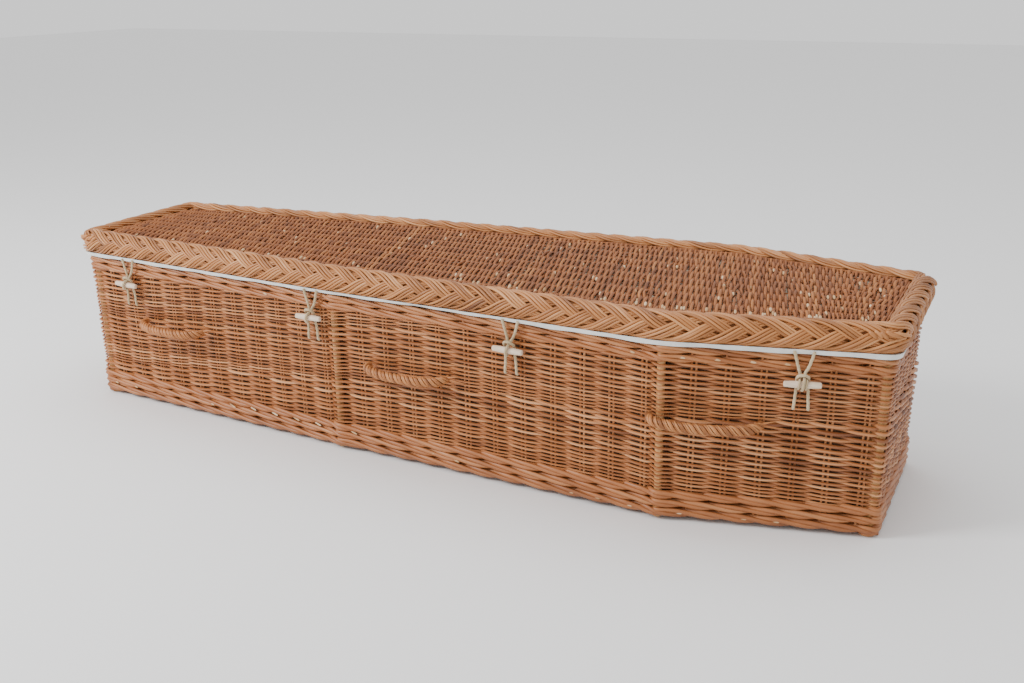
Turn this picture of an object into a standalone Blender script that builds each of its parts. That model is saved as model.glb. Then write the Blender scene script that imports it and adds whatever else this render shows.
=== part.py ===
"""Willow coffin: a woven basket with a tapered plan, its lid, lining, handles and toggles.

Metres, +Z up. +X runs from the foot end to the head end. The origin is on the floor,
under the middle of the length and of the width. The front is the side at -Y.
"""

import math

import bmesh
import bpy
from mathutils import Vector

# The basket in plan, measured outside at its rim.
LENGTH = 1.900
FOOT_WIDTH = 0.385
MIDDLE_WIDTH = 0.510
SHOULDER_WIDTH = 0.585
HEAD_WIDTH = 0.400
MIDDLE_FROM_FOOT = 0.750
SHOULDER_FROM_HEAD = 0.405
CORNER_ROUNDING = 0.024
BEND_ROUNDING = 0.150
LEAST_ROUNDING = 0.004
CORNER_STEPS = 3
BEND_STEPS = 2

# The woven wall.
WALL_HEIGHT = 0.350
WALL_THICKNESS = 0.022
WALL_FLARE = 0.006
LOWER_WALE_HEIGHT = 0.058
UPPER_WALE_HEIGHT = 0.034
WALE_PROUD = 0.0015
WALE_EDGE = 0.006

# The posts in the weave. The corner posts stick out below the weave as low feet.
FOOT_HEIGHT = 0.005
CORNER_POST_DIAMETER = 0.028
CORNER_POST_INSET = 0.024
BEND_POST_DIAMETER = 0.016
BEND_POST_INSET = 0.012
POST_SIDES = 12

# The woven base.
BASE_THICKNESS = 0.016
BASE_RAISE = 0.003

# The lid: a plaited border roll around a lower woven panel.
BORDER_DIAMETER = 0.060
BORDER_INSET = 0.0130
PLAIT_PITCH = 0.058
PLAIT_HOLLOW = 0.0018
BORDER_SIDES = 8
PANEL_THICKNESS = 0.014
PANEL_RECESS = 0.010

# The cotton lining.
CLOTH_THICKNESS = 0.0015
HEM_DROP = 0.005

# The roped handles.
HANDLE_DIAMETER = 0.021
HANDLE_END_DIAMETER = 0.013
HANDLE_BOW = 0.040
HANDLE_SAG = 0.006
HANDLE_DROP = 0.140
HANDLE_SPANS = ((-0.760, -0.575), (-0.105, 0.090), (0.527, 0.728))
HANDLE_STATIONS = 12
HANDLE_SIDES = 8

# The wooden toggles, and the cords that hold the lid with them.
TOGGLE_LENGTH = 0.067
TOGGLE_DIAMETER = 0.013
TOGGLE_END_DIAMETER = 0.0105
TOGGLE_DROP = 0.053
TOGGLE_PLACES = (-0.798, -0.247, 0.237, 0.793)
TOGGLE_SIDES = 8
CORD_DIAMETER = 0.0045
CORD_SPACING = 0.013
CORD_TURN = math.radians(50)
CORD_TO_WALL = 0.0022

# The air left between pieces that touch.
GAP = 0.0003

# What follows from the sizes above.
RIM = FOOT_HEIGHT + WALL_HEIGHT
HANDLE_HEIGHT = RIM - HANDLE_DROP
TOGGLE_HEIGHT = RIM - TOGGLE_DROP
HEM_TOP = RIM + GAP + CLOTH_THICKNESS
BORDER_RADIUS = BORDER_DIAMETER / 2
BORDER_CENTRE = HEM_TOP + GAP + BORDER_RADIUS
PANEL_TOP = BORDER_CENTRE + BORDER_RADIUS - PANEL_RECESS
PANEL_INSET = BORDER_INSET + BORDER_RADIUS + GAP
LINING_INSET = WALL_THICKNESS + GAP
BASE_BOTTOM = FOOT_HEIGHT + BASE_RAISE
BASE_TOP = BASE_BOTTOM + BASE_THICKNESS
CORD_RADIUS = CORD_DIAMETER / 2
TOGGLE_RADIUS = TOGGLE_DIAMETER / 2
CORD_TO_TOGGLE = (TOGGLE_RADIUS + CORD_RADIUS + GAP) / math.cos(CORD_TURN * 0.55)
TOGGLE_STANDOFF = CORD_TO_WALL + 2 * CORD_DIAMETER + GAP + TOGGLE_RADIUS

WILLOW = (0.46, 0.21, 0.085)
WILLOW_POST = (0.52, 0.34, 0.13)
TOGGLE_WOOD = (0.72, 0.56, 0.40)
CORD_BEIGE = (0.62, 0.50, 0.36)
COTTON = (0.80, 0.80, 0.76)


def clear_scene():
    """Removes every object, so that the file holds only the coffin."""
    for item in list(bpy.data.objects):
        bpy.data.objects.remove(item, do_unlink=True)


def make_material(name, colour, roughness):
    """A plain finish: one colour and one roughness, not metallic."""
    material = bpy.data.materials.new(name)
    material.use_nodes = True
    shader = material.node_tree.nodes["Principled BSDF"]
    shader.inputs["Base Color"].default_value = (*colour, 1.0)
    shader.inputs["Roughness"].default_value = roughness
    shader.inputs["Metallic"].default_value = 0.0
    return material


def add_object(name, data, colour, roughness=0.6):
    """Puts a mesh or a curve in the scene under its name, with its own finish."""
    item = bpy.data.objects.new(name, data)
    bpy.context.scene.collection.objects.link(item)
    data.materials.append(make_material(name + "_finish", colour, roughness))
    return item


def mesh_from(name, body):
    """Turns a bmesh into a smooth shaded mesh with its faces pointing out."""
    bmesh.ops.recalc_face_normals(body, faces=body.faces)
    mesh = bpy.data.meshes.new(name)
    body.to_mesh(mesh)
    body.free()
    mesh.shade_smooth()
    mesh.set_sharp_from_angle(angle=math.radians(40))
    return mesh


def lean(height):
    """How far the wall stands in from the rim's outline at a height, because the sides flare."""
    return WALL_FLARE * (1.0 - (height - FOOT_HEIGHT) / WALL_HEIGHT)


def plan_corners(inset):
    """The eight corners of the plan, moved in by the inset, counter-clockwise from the foot's front."""
    foot_x = -LENGTH / 2
    middle_x = foot_x + MIDDLE_FROM_FOOT
    head_x = LENGTH / 2
    shoulder_x = head_x - SHOULDER_FROM_HEAD
    half = [
        (foot_x, -FOOT_WIDTH / 2),
        (middle_x, -MIDDLE_WIDTH / 2),
        (shoulder_x, -SHOULDER_WIDTH / 2),
        (head_x, -HEAD_WIDTH / 2),
    ]
    corners = half + [(x, -y) for x, y in reversed(half)]
    moved = []
    for place, corner in enumerate(corners):
        before = Vector(corner) - Vector(corners[place - 1])
        after = Vector(corners[(place + 1) % len(corners)]) - Vector(corner)
        inward_before = Vector((-before.y, before.x)).normalized()
        inward_after = Vector((-after.y, after.x)).normalized()
        bisector = inward_before + inward_after
        moved.append(Vector(corner) + bisector * (inset / (1.0 + inward_before.dot(inward_after))))
    return moved


def is_end_corner(place):
    """True for the four corners of the two end walls, false for the bends in the long sides."""
    return place in (0, 3, 4, 7)


def half_angle(place):
    """Half of the angle inside the plan at a corner."""
    corners = plan_corners(0.0)
    back = (corners[place - 1] - corners[place]).normalized()
    on = (corners[(place + 1) % len(corners)] - corners[place]).normalized()
    return back.angle(on) / 2


def radius_clear_of_post(inset, place):
    """The corner radius of an outline that just passes inside the corner post."""
    slope = 1.0 / math.sin(half_angle(place))
    return (CORNER_POST_DIAMETER / 2 + GAP + (CORNER_POST_INSET - inset) * slope) / (slope - 1.0)


def outline(inset, clear_of_posts=False, pieces=None, lean_in=0.0):
    """The plan's outline with rounded corners, moved in by the inset and the wall's lean.

    Each corner is an arc of a fixed number of steps, and each side may be divided into a
    number of pieces, so that outlines at different insets can be joined point to point.
    """
    corners = plan_corners(inset + lean_in)
    points = []
    for place, corner in enumerate(corners):
        end_corner = is_end_corner(place)
        if end_corner and clear_of_posts:
            radius = radius_clear_of_post(inset, place)
        else:
            radius = max((CORNER_ROUNDING if end_corner else BEND_ROUNDING) - inset, LEAST_ROUNDING)
        steps = CORNER_STEPS if end_corner else BEND_STEPS
        opening = half_angle(place)
        back = (corners[place - 1] - corner).normalized()
        on = (corners[(place + 1) % len(corners)] - corner).normalized()
        centre = corner + (back + on).normalized() * (radius / math.sin(opening))
        first = corner + back * (radius / math.tan(opening))
        spoke = first - centre
        turn = math.pi - 2 * opening
        for step in range(steps + 1):
            angle = turn * step / steps
            points.append(
                (
                    centre.x + spoke.x * math.cos(angle) - spoke.y * math.sin(angle),
                    centre.y + spoke.x * math.sin(angle) + spoke.y * math.cos(angle),
                )
            )
        if pieces:
            points.append(None)
    if pieces:
        points = fill_sides(points, pieces)
    return points


def fill_sides(points, pieces):
    """Divides the straight run after each corner's mark into its number of pieces."""
    filled = []
    side = 0
    for place, point in enumerate(points):
        if point is not None:
            filled.append(point)
            continue
        start = points[place - 1]
        end = points[(place + 1) % len(points)]
        for step in range(1, pieces[side]):
            share = step / pieces[side]
            filled.append(
                (start[0] + (end[0] - start[0]) * share, start[1] + (end[1] - start[1]) * share)
            )
        side += 1
    return filled


def add_ring(body, points, height):
    """Adds one outline at a height and returns its vertices. The height may vary from point to point."""
    heights = height if isinstance(height, list) else [height] * len(points)
    return [body.verts.new((point[0], point[1], level)) for point, level in zip(points, heights)]


def join_rings(body, lower, upper):
    """Joins two rings of the same count with a band of four-sided faces."""
    count = len(lower)
    for place in range(count):
        following = (place + 1) % count
        body.faces.new((lower[place], lower[following], upper[following], upper[place]))


def wall_outer_profile():
    """Insets and heights up the outside of the wall, with its two thicker bands of waling."""
    lower_top = FOOT_HEIGHT + LOWER_WALE_HEIGHT
    upper_bottom = RIM - UPPER_WALE_HEIGHT
    return [
        (WALE_EDGE * 0.5, FOOT_HEIGHT),
        (-WALE_PROUD, FOOT_HEIGHT + WALE_EDGE),
        (-WALE_PROUD, lower_top - WALE_EDGE),
        (0.0, lower_top),
        (0.0, upper_bottom),
        (-WALE_PROUD * 0.5, upper_bottom + WALE_EDGE),
        (-WALE_PROUD * 0.5, RIM - WALE_EDGE * 0.5),
        (0.0015, RIM),
    ]


def post_centre(place, height):
    """The middle of a post at a height. Posts lean with the wall."""
    inset = CORNER_POST_INSET if is_end_corner(place) else BEND_POST_INSET
    return plan_corners(inset + lean(height))[place]


def post_body(place, bottom, top, extra_radius=0.0):
    """A leaning round post between two heights."""
    diameter = CORNER_POST_DIAMETER if is_end_corner(place) else BEND_POST_DIAMETER
    radius = diameter / 2 + extra_radius
    body = bmesh.new()
    rings = []
    for height in (bottom, top):
        centre = post_centre(place, height)
        circle = [
            (
                centre.x + radius * math.cos(2 * math.pi * side / POST_SIDES),
                centre.y + radius * math.sin(2 * math.pi * side / POST_SIDES),
            )
            for side in range(POST_SIDES)
        ]
        rings.append(add_ring(body, circle, height))
    join_rings(body, rings[0], rings[1])
    body.faces.new(rings[0])
    body.faces.new(rings[1])
    return body


def make_sides():
    """The woven wall: a closed ring around the plan, with a channel for each post."""
    body = bmesh.new()
    rings = []
    for inset, height in wall_outer_profile():
        rings.append(add_ring(body, outline(inset, lean_in=lean(height)), height))
    for height in (RIM, FOOT_HEIGHT):
        rings.append(add_ring(body, outline(WALL_THICKNESS, lean_in=lean(height)), height))
    for place, ring in enumerate(rings):
        join_rings(body, ring, rings[(place + 1) % len(rings)])
    sides = add_object("woven_sides", mesh_from("woven_sides", body), WILLOW)
    over = 0.01
    for place in range(8):
        cutter_body = post_body(place, FOOT_HEIGHT - over, RIM + over, GAP)
        cutter = bpy.data.objects.new(f"post_channel_{place}", mesh_from("post_channel", cutter_body))
        bpy.context.scene.collection.objects.link(cutter)
        cutter.hide_render = True
        cutter.display_type = "WIRE"
        cut = sides.modifiers.new(f"post_channel_{place}", "BOOLEAN")
        cut.operation = "DIFFERENCE"
        cut.object = cutter


def make_posts():
    """The four corner posts, which stand on the floor, and the four posts at the bends."""
    names = {
        0: "corner_post_foot_front",
        1: "middle_post_front",
        2: "shoulder_post_front",
        3: "corner_post_head_front",
        4: "corner_post_head_back",
        5: "shoulder_post_back",
        6: "middle_post_back",
        7: "corner_post_foot_back",
    }
    for place, name in names.items():
        bottom = 0.0 if is_end_corner(place) else FOOT_HEIGHT
        add_object(name, mesh_from(name, post_body(place, bottom, RIM)), WILLOW_POST)


def make_base():
    """The woven base: a flat panel inside the foot of the wall and the corner posts."""
    body = bmesh.new()
    inset = WALL_THICKNESS + GAP
    lower = add_ring(body, outline(inset, True, lean_in=lean(BASE_BOTTOM)), BASE_BOTTOM)
    upper = add_ring(body, outline(inset, True, lean_in=lean(BASE_BOTTOM)), BASE_TOP)
    join_rings(body, lower, upper)
    body.faces.new(lower)
    body.faces.new(upper)
    add_object("woven_base", mesh_from("woven_base", body), WILLOW)


def make_basket_lining():
    """The cotton in the basket: floor, walls and a hem turned over the rim and down outside."""
    body = bmesh.new()
    floor = BASE_TOP + GAP
    inner = LINING_INSET + CLOTH_THICKNESS
    lip = RIM - HEM_DROP
    shown = [
        add_ring(body, outline(-WALE_PROUD - GAP - CLOTH_THICKNESS, lean_in=lean(lip)), lip),
        add_ring(body, outline(-WALE_PROUD - GAP - CLOTH_THICKNESS), HEM_TOP),
        add_ring(body, outline(inner, True), HEM_TOP),
        add_ring(body, outline(inner, True, lean_in=lean(floor)), floor + CLOTH_THICKNESS),
    ]
    hidden = [
        add_ring(body, outline(-WALE_PROUD - GAP, lean_in=lean(lip)), lip),
        add_ring(body, outline(-WALE_PROUD - GAP), RIM + GAP),
        add_ring(body, outline(LINING_INSET, True), RIM + GAP),
        add_ring(body, outline(LINING_INSET, True, lean_in=lean(floor)), floor),
    ]
    for layer in (shown, hidden):
        for place in range(len(layer) - 1):
            join_rings(body, layer[place], layer[place + 1])
        body.faces.new(layer[-1])
    join_rings(body, shown[0], hidden[0])
    add_object("basket_lining", mesh_from("basket_lining", body), COTTON, 0.9)


def make_lid_border():
    """The plaited border: a roll above the rim that swells and narrows with the plait.

    The roll's diameter is measured across its flats, and it rests on the lower one.
    """
    corners = plan_corners(BORDER_INSET)
    pieces = []
    for place, corner in enumerate(corners):
        side_length = (corners[(place + 1) % len(corners)] - corner).length
        pieces.append(round((side_length - CORNER_ROUNDING) / (PLAIT_PITCH / 2)))
    body = bmesh.new()
    rings = []
    for side in range(BORDER_SIDES):
        angle = 2 * math.pi * (side + 0.5) / BORDER_SIDES
        wide = BORDER_RADIUS / math.cos(math.pi / BORDER_SIDES)
        narrow = wide - PLAIT_HOLLOW
        swollen = outline(BORDER_INSET - wide * math.cos(angle), pieces=pieces)
        drawn_in = outline(BORDER_INSET - narrow * math.cos(angle), pieces=pieces)
        points = [pair[station % 2] for station, pair in enumerate(zip(swollen, drawn_in))]
        radii = [(wide, narrow)[station % 2] for station in range(len(points))]
        heights = [BORDER_CENTRE + radius * math.sin(angle) for radius in radii]
        rings.append(add_ring(body, points, heights))
    for place, ring in enumerate(rings):
        join_rings(body, ring, rings[(place + 1) % len(rings)])
    add_object("lid_border", mesh_from("lid_border", body), WILLOW)


def make_lid_panel():
    """The woven lid panel: a board inside the border, lower than the border's top."""
    bottom = PANEL_TOP - PANEL_THICKNESS
    body = bmesh.new()
    lower = add_ring(body, outline(PANEL_INSET), bottom)
    upper = add_ring(body, outline(PANEL_INSET), PANEL_TOP)
    join_rings(body, lower, upper)
    body.faces.new(lower)
    body.faces.new(upper)
    add_object("lid_panel", mesh_from("lid_panel", body), WILLOW)


def make_lid_lining():
    """The cotton under the lid panel, a flat sheet inside the border."""
    top = PANEL_TOP - PANEL_THICKNESS - GAP
    body = bmesh.new()
    lower = add_ring(body, outline(PANEL_INSET), top - CLOTH_THICKNESS)
    upper = add_ring(body, outline(PANEL_INSET), top)
    join_rings(body, lower, upper)
    body.faces.new(lower)
    body.faces.new(upper)
    add_object("lid_lining", mesh_from("lid_lining", body), COTTON, 0.9)


def wall_frame(x, height, front):
    """A point on the wall's outer face, with the directions along the wall, outwards and up the wall."""
    corners = plan_corners(lean(height))
    place = 0
    while place < 2 and x > corners[place + 1].x:
        place += 1
    start = corners[place]
    along = (corners[place + 1] - start).normalized()
    y = start.y + (x - start.x) * along.y / along.x
    turn = 1.0 if front else -1.0
    point = Vector((x, y * turn, height))
    direction = Vector((along.x, along.y * turn, 0.0))
    outward = Vector((along.y, -along.x * turn, 0.0))
    upward = (Vector((0.0, 0.0, WALL_HEIGHT)) + outward * WALL_FLARE).normalized()
    return point, direction, outward, upward


def face_normal(outward):
    """The direction square to the leaning wall face, from the level direction outwards."""
    return (outward * WALL_HEIGHT - Vector((0.0, 0.0, WALL_FLARE))).normalized()


def tube_body(points, radii, sides, directions=None):
    """A round bar along points, whose radius may change, with flat ends.

    The ends face along the given directions, or else along the bar.
    """
    body = bmesh.new()
    rings = []
    count = len(points)
    upright = Vector((0.0, 0.0, 1.0))
    for place, point in enumerate(points):
        before = points[max(place - 1, 0)]
        after = points[min(place + 1, count - 1)]
        direction = (after - before).normalized()
        if directions and place == 0:
            direction = directions[0]
        if directions and place == count - 1:
            direction = directions[1]
        across = upright.cross(direction).normalized()
        over = direction.cross(across)
        ring = []
        for side in range(sides):
            angle = 2 * math.pi * side / sides
            spoke = across * math.cos(angle) + over * math.sin(angle)
            ring.append(body.verts.new(point + spoke * radii[place]))
        rings.append(ring)
    for place in range(count - 1):
        join_rings(body, rings[place], rings[place + 1])
    body.faces.new(rings[0])
    body.faces.new(rings[-1])
    return body


def handle_points(span, front):
    """The middle line of a handle: it leaves the wall squarely, bows out and sags a little."""
    start, _, out_start, _ = wall_frame(span[0], HANDLE_HEIGHT, front)
    end, _, out_end, _ = wall_frame(span[1], HANDLE_HEIGHT, front)
    outward = (out_start + out_end).normalized()
    fullness = 2.4
    points = []
    for station in range(HANDLE_STATIONS + 1):
        angle = math.pi * station / HANDLE_STATIONS
        along = 0.5 - 0.5 * math.copysign(abs(math.cos(angle)) ** (2 / fullness), math.cos(angle))
        bow = math.sin(angle) ** (2 / fullness)
        point = start.lerp(end, along)
        point = point + outward * (GAP + (HANDLE_BOW - GAP) * bow)
        point = point - Vector((0.0, 0.0, HANDLE_SAG)) * bow
        points.append(point)
    return points, (face_normal(out_start), -face_normal(out_end))


def make_handles():
    """Three roped handles on each long side, thinner where they run into the weave."""
    for side_name, front in (("front", True), ("back", False)):
        for number, span in enumerate(HANDLE_SPANS, start=1):
            points, directions = handle_points(span, front)
            radii = []
            for station in range(len(points)):
                share = min(1.0, 2.6 * math.sin(math.pi * station / HANDLE_STATIONS))
                diameter = HANDLE_END_DIAMETER + (HANDLE_DIAMETER - HANDLE_END_DIAMETER) * share
                radii.append(diameter / 2)
            name = f"handle_{side_name}_{number}"
            body = tube_body(points, radii, HANDLE_SIDES, directions)
            add_object(name, mesh_from(name, body), WILLOW)


def toggle_frame(x, front):
    """The toggle's middle, with the directions along the wall, outwards and up."""
    point, along, outward, upward = wall_frame(x, TOGGLE_HEIGHT, front)
    return point + outward * TOGGLE_STANDOFF, along, outward, upward


def make_toggles():
    """A short wooden bar, a little thinner to its ends, at each fastening."""
    for side_name, front in (("front", True), ("back", False)):
        for number, x in enumerate(TOGGLE_PLACES, start=1):
            middle, along, _, _ = toggle_frame(x, front)
            half = TOGGLE_LENGTH / 2
            points = [middle + along * half * share for share in (-1.0, -0.45, 0.45, 1.0)]
            radii = [TOGGLE_END_DIAMETER / 2, TOGGLE_RADIUS, TOGGLE_RADIUS, TOGGLE_END_DIAMETER / 2]
            name = f"toggle_{side_name}_{number}"
            add_object(name, mesh_from(name, tube_body(points, radii, TOGGLE_SIDES)), TOGGLE_WOOD)


def lid_cord_route():
    """The lid cord around its toggle: along the wall, outwards and up from the toggle's middle.

    It hangs from under the border, goes down behind the toggle, under it, up its front and
    back over its top, and rises to the border again.
    """
    near = CORD_TO_TOGGLE
    slant = near * 0.7071
    neck = -TOGGLE_STANDOFF + WALE_PROUD + CLOTH_THICKNESS + 2 * GAP + CORD_RADIUS
    top = TOGGLE_DROP + 0.0052
    return [
        (-0.0175, neck, top),
        (-0.0095, neck - 0.0006, 0.030),
        (-0.0048, neck, 0.014),
        (-0.0032, -near, 0.001),
        (-0.0024, -slant, -slant),
        (-0.0012, 0.0, -near),
        (0.0002, slant, -slant),
        (0.0014, near, 0.0),
        (0.0022, slant, slant),
        (0.0026, 0.0, near + 0.0004),
        (0.0030, -0.0068, 0.0128),
        (0.0044, neck + 0.0006, 0.020),
        (0.0098, neck - 0.0006, 0.031),
        (0.0175, neck, top),
    ]


def wall_loop_route():
    """The wall's loop: out of the weave, up behind the toggle, and over in front of the lid cord."""
    behind = -CORD_TO_TOGGLE
    face = -TOGGLE_STANDOFF + GAP
    arch = [
        (-0.0130, face + 0.0020, -0.0530),
        (-0.0128, face + 0.0052, -0.0475),
        (-0.0115, face + 0.0046, -0.0280),
        (-0.0102, behind, -0.0060),
        (-0.0103, behind + 0.0016, 0.0055),
        (-0.0098, -0.0046, 0.0118),
        (-0.0060, -0.0006, 0.0162),
    ]
    return arch + [(0.0, 0.0010, 0.0176)] + [(-a, o, u) for a, o, u in reversed(arch)]


def smooth_curve(route, fine=12):
    """Closely spaced points on a smooth curve through the route's own points."""
    dense = []
    padded = [route[0] * 2 - route[1]] + route + [route[-1] * 2 - route[-2]]
    for place in range(1, len(padded) - 2):
        p0, p1, p2, p3 = padded[place - 1 : place + 3]
        for step in range(fine):
            t = step / fine
            line = 2 * p1 + (p2 - p0) * t
            bend = (2 * p0 - 5 * p1 + 4 * p2 - p3) * t * t
            twist = (3 * p1 - p0 - 3 * p2 + p3) * t * t * t
            dense.append(0.5 * (line + bend + twist))
    dense.append(route[-1])
    return dense


def read_points(dense, spacing, turn):
    """Points from a smooth curve, at most a set distance and a set turn apart."""
    points = [dense[0]]
    run = 0.0
    turned = 0.0
    for place in range(1, len(dense) - 1):
        before = dense[place] - dense[place - 1]
        after = dense[place + 1] - dense[place]
        run += before.length
        turned += before.angle(after)
        if run >= spacing or turned >= turn:
            points.append(dense[place])
            run = 0.0
            turned = 0.0
    points.append(dense[-1])
    return points


def make_cord(name, route, x, front):
    """One cord: a round tube along its route beside a toggle."""
    middle, along, outward, upward = toggle_frame(x, front)
    placed = [middle + along * a + outward * o + upward * u for a, o, u in route]
    points = read_points(smooth_curve(placed), CORD_SPACING, CORD_TURN)
    curve = bpy.data.curves.new(name, "CURVE")
    curve.dimensions = "3D"
    curve.bevel_depth = CORD_RADIUS
    curve.bevel_resolution = 2
    curve.use_fill_caps = True
    spline = curve.splines.new("POLY")
    spline.points.add(len(points) - 1)
    for place, point in enumerate(points):
        spline.points[place].co = (*point, 1.0)
    add_object(name, curve, CORD_BEIGE, 0.85)


def make_cords():
    """The lid cord and the wall's loop at each fastening."""
    for side_name, front in (("front", True), ("back", False)):
        for number, x in enumerate(TOGGLE_PLACES, start=1):
            make_cord(f"lid_cord_{side_name}_{number}", lid_cord_route(), x, front)
            make_cord(f"wall_loop_{side_name}_{number}", wall_loop_route(), x, front)


clear_scene()
make_sides()
make_posts()
make_base()
make_basket_lining()
make_lid_border()
make_lid_panel()
make_lid_lining()
make_handles()
make_toggles()
make_cords()
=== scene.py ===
"""Looks of the willow coffin: every rod of its weave, its plait, handles, toggles, cords and cotton.

Metres, +Z up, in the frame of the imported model. +X runs from the foot end to the head end.
Places along the basket are counted in bays, the spaces from one pair of stakes to the next.
"""

import math

import bpy
import numpy as np
from mathutils import Matrix


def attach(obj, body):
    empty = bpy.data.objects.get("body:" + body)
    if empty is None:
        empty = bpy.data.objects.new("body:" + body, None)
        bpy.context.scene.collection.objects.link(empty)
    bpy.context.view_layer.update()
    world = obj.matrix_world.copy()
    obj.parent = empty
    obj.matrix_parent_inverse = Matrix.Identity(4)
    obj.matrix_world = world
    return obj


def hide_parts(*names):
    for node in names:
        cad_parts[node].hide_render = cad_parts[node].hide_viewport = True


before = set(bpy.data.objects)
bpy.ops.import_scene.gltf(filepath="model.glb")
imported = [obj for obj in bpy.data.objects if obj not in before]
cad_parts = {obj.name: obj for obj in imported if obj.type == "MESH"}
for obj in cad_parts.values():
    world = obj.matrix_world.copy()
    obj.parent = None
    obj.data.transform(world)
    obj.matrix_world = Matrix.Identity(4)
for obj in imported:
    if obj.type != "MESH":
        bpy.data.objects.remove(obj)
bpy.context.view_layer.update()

# The plan, measured outside at the rim, and the heights of the woven wall.
LENGTH = 1.900
FOOT_WIDTH = 0.385
MIDDLE_WIDTH = 0.510
SHOULDER_WIDTH = 0.585
HEAD_WIDTH = 0.400
MIDDLE_FROM_FOOT = 0.750
SHOULDER_FROM_HEAD = 0.405
CORNER_ROUNDING = 0.024
BEND_ROUNDING = 0.150
FOOT_HEIGHT = 0.005
WALL_HEIGHT = 0.350
WALL_THICKNESS = 0.022
WALL_FLARE = 0.006
WALE_PROUD = 0.0015
RIM = FOOT_HEIGHT + WALL_HEIGHT
GAP = 0.0003
CLOTH_THICKNESS = 0.0015

# The lid.
HEM_TOP = RIM + GAP + CLOTH_THICKNESS
BORDER_RADIUS = 0.030
BORDER_INSET = 0.013
BORDER_CENTRE = HEM_TOP + GAP + BORDER_RADIUS
PANEL_INSET = BORDER_INSET + BORDER_RADIUS + GAP
PANEL_THICKNESS = 0.014
PANEL_TOP = BORDER_CENTRE + BORDER_RADIUS - 0.010

# The toggles and their cords.
TOGGLE_LENGTH = 0.067
TOGGLE_RADIUS = 0.0065
TOGGLE_END_RADIUS = 0.0052
TOGGLE_DROP = 0.053
TOGGLE_HEIGHT = RIM - TOGGLE_DROP
TOGGLE_PLACES = (-0.798, -0.247, 0.237, 0.793)
CORD_DIAMETER = 0.0045
CORD_RADIUS = CORD_DIAMETER / 2
CORD_SWELL = 1.2
CORD_TO_TOGGLE = (TOGGLE_RADIUS + CORD_RADIUS + GAP) / math.cos(math.radians(50) * 0.55)
TOGGLE_STANDOFF = 0.0022 + 2 * CORD_DIAMETER + GAP + TOGGLE_RADIUS

# The handles.
HANDLE_HEIGHT = RIM - 0.140
HANDLE_SPANS = ((-0.760, -0.575), (-0.105, 0.090), (0.527, 0.728))
HANDLE_BOW = 0.040
HANDLE_SAG = 0.006
HANDLE_RADIUS = 0.0105
HANDLE_END_RADIUS = 0.0065

SIDES = (("front", 1.0), ("back", -1.0))


def hex_colour(code, alpha=1.0):
    """An sRGB hex colour as linear RGBA, by the sRGB curve: a short line, then a power of 2.4."""
    channels = np.array([int(code[i : i + 2], 16) for i in (1, 3, 5)]) / 255
    linear = np.where(channels <= 0.04045, channels / 12.92, ((channels + 0.055) / 1.055) ** 2.4)
    return (*linear.tolist(), alpha)


def unit(vectors):
    """Vectors divided by their lengths."""
    return vectors / np.linalg.norm(vectors, axis=-1, keepdims=True)


# Surfaces.


def make_piece(name, verts, quads, caps=(), tone=None, uv=None):
    """A mesh from arrays: quads, end faces of any count, a tone for each vertex, a UV for each corner."""
    groups = [np.asarray(faces, dtype=np.int32) for faces in (quads, *caps)]
    corners = np.concatenate([faces.ravel() for faces in groups])
    sizes = np.concatenate([np.full(len(faces), faces.shape[1]) for faces in groups])
    mesh = bpy.data.meshes.new(name)
    mesh.vertices.add(len(verts))
    mesh.vertices.foreach_set("co", np.asarray(verts, dtype=np.float32).ravel())
    mesh.loops.add(len(corners))
    mesh.loops.foreach_set("vertex_index", corners)
    mesh.polygons.add(len(sizes))
    mesh.polygons.foreach_set("loop_start", (np.cumsum(sizes) - sizes).astype(np.int32))
    mesh.update(calc_edges=True)
    if tone is not None:
        values = mesh.attributes.new("tone", "FLOAT", "POINT")
        values.data.foreach_set("value", np.asarray(tone, dtype=np.float32).ravel())
    if uv is not None:
        layer = mesh.uv_layers.new(name="along")
        full = np.zeros((len(corners), 2), dtype=np.float32)
        full[: len(uv)] = uv
        layer.data.foreach_set("uv", full.ravel())
    mesh.shade_smooth()
    if caps:
        mesh.set_sharp_from_angle(angle=math.radians(60))
    piece = bpy.data.objects.new(name, mesh)
    bpy.context.scene.collection.objects.link(piece)
    return piece


def ring_faces(rows, stations, sides, closed):
    """Quads between neighbouring rings of many tubes, their UVs, and the end rings of open ones.

    Vertex number is (row * stations + station) * sides + side. u runs once round, v counts stations.
    """
    spans = stations if closed else stations - 1
    row, station, side = np.meshgrid(np.arange(rows), np.arange(spans), np.arange(sides), indexing="ij")
    onward = (station + 1) % stations
    beside = (side + 1) % sides
    first = (row * stations + station) * sides
    second = (row * stations + onward) * sides
    quads = np.stack([first + side, second + side, second + beside, first + beside], axis=-1)
    u = np.stack([side, side, side + 1, side + 1], axis=-1) / sides
    v = np.stack([station, station + 1, station + 1, station], axis=-1)
    caps = []
    if not closed:
        start = (np.arange(rows) * stations * sides)[:, None] + np.arange(sides)
        end = start + (stations - 1) * sides
        caps = [start, end[:, ::-1]]
    return quads.reshape(-1, 4), np.stack([u, v], axis=-1), caps


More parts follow.
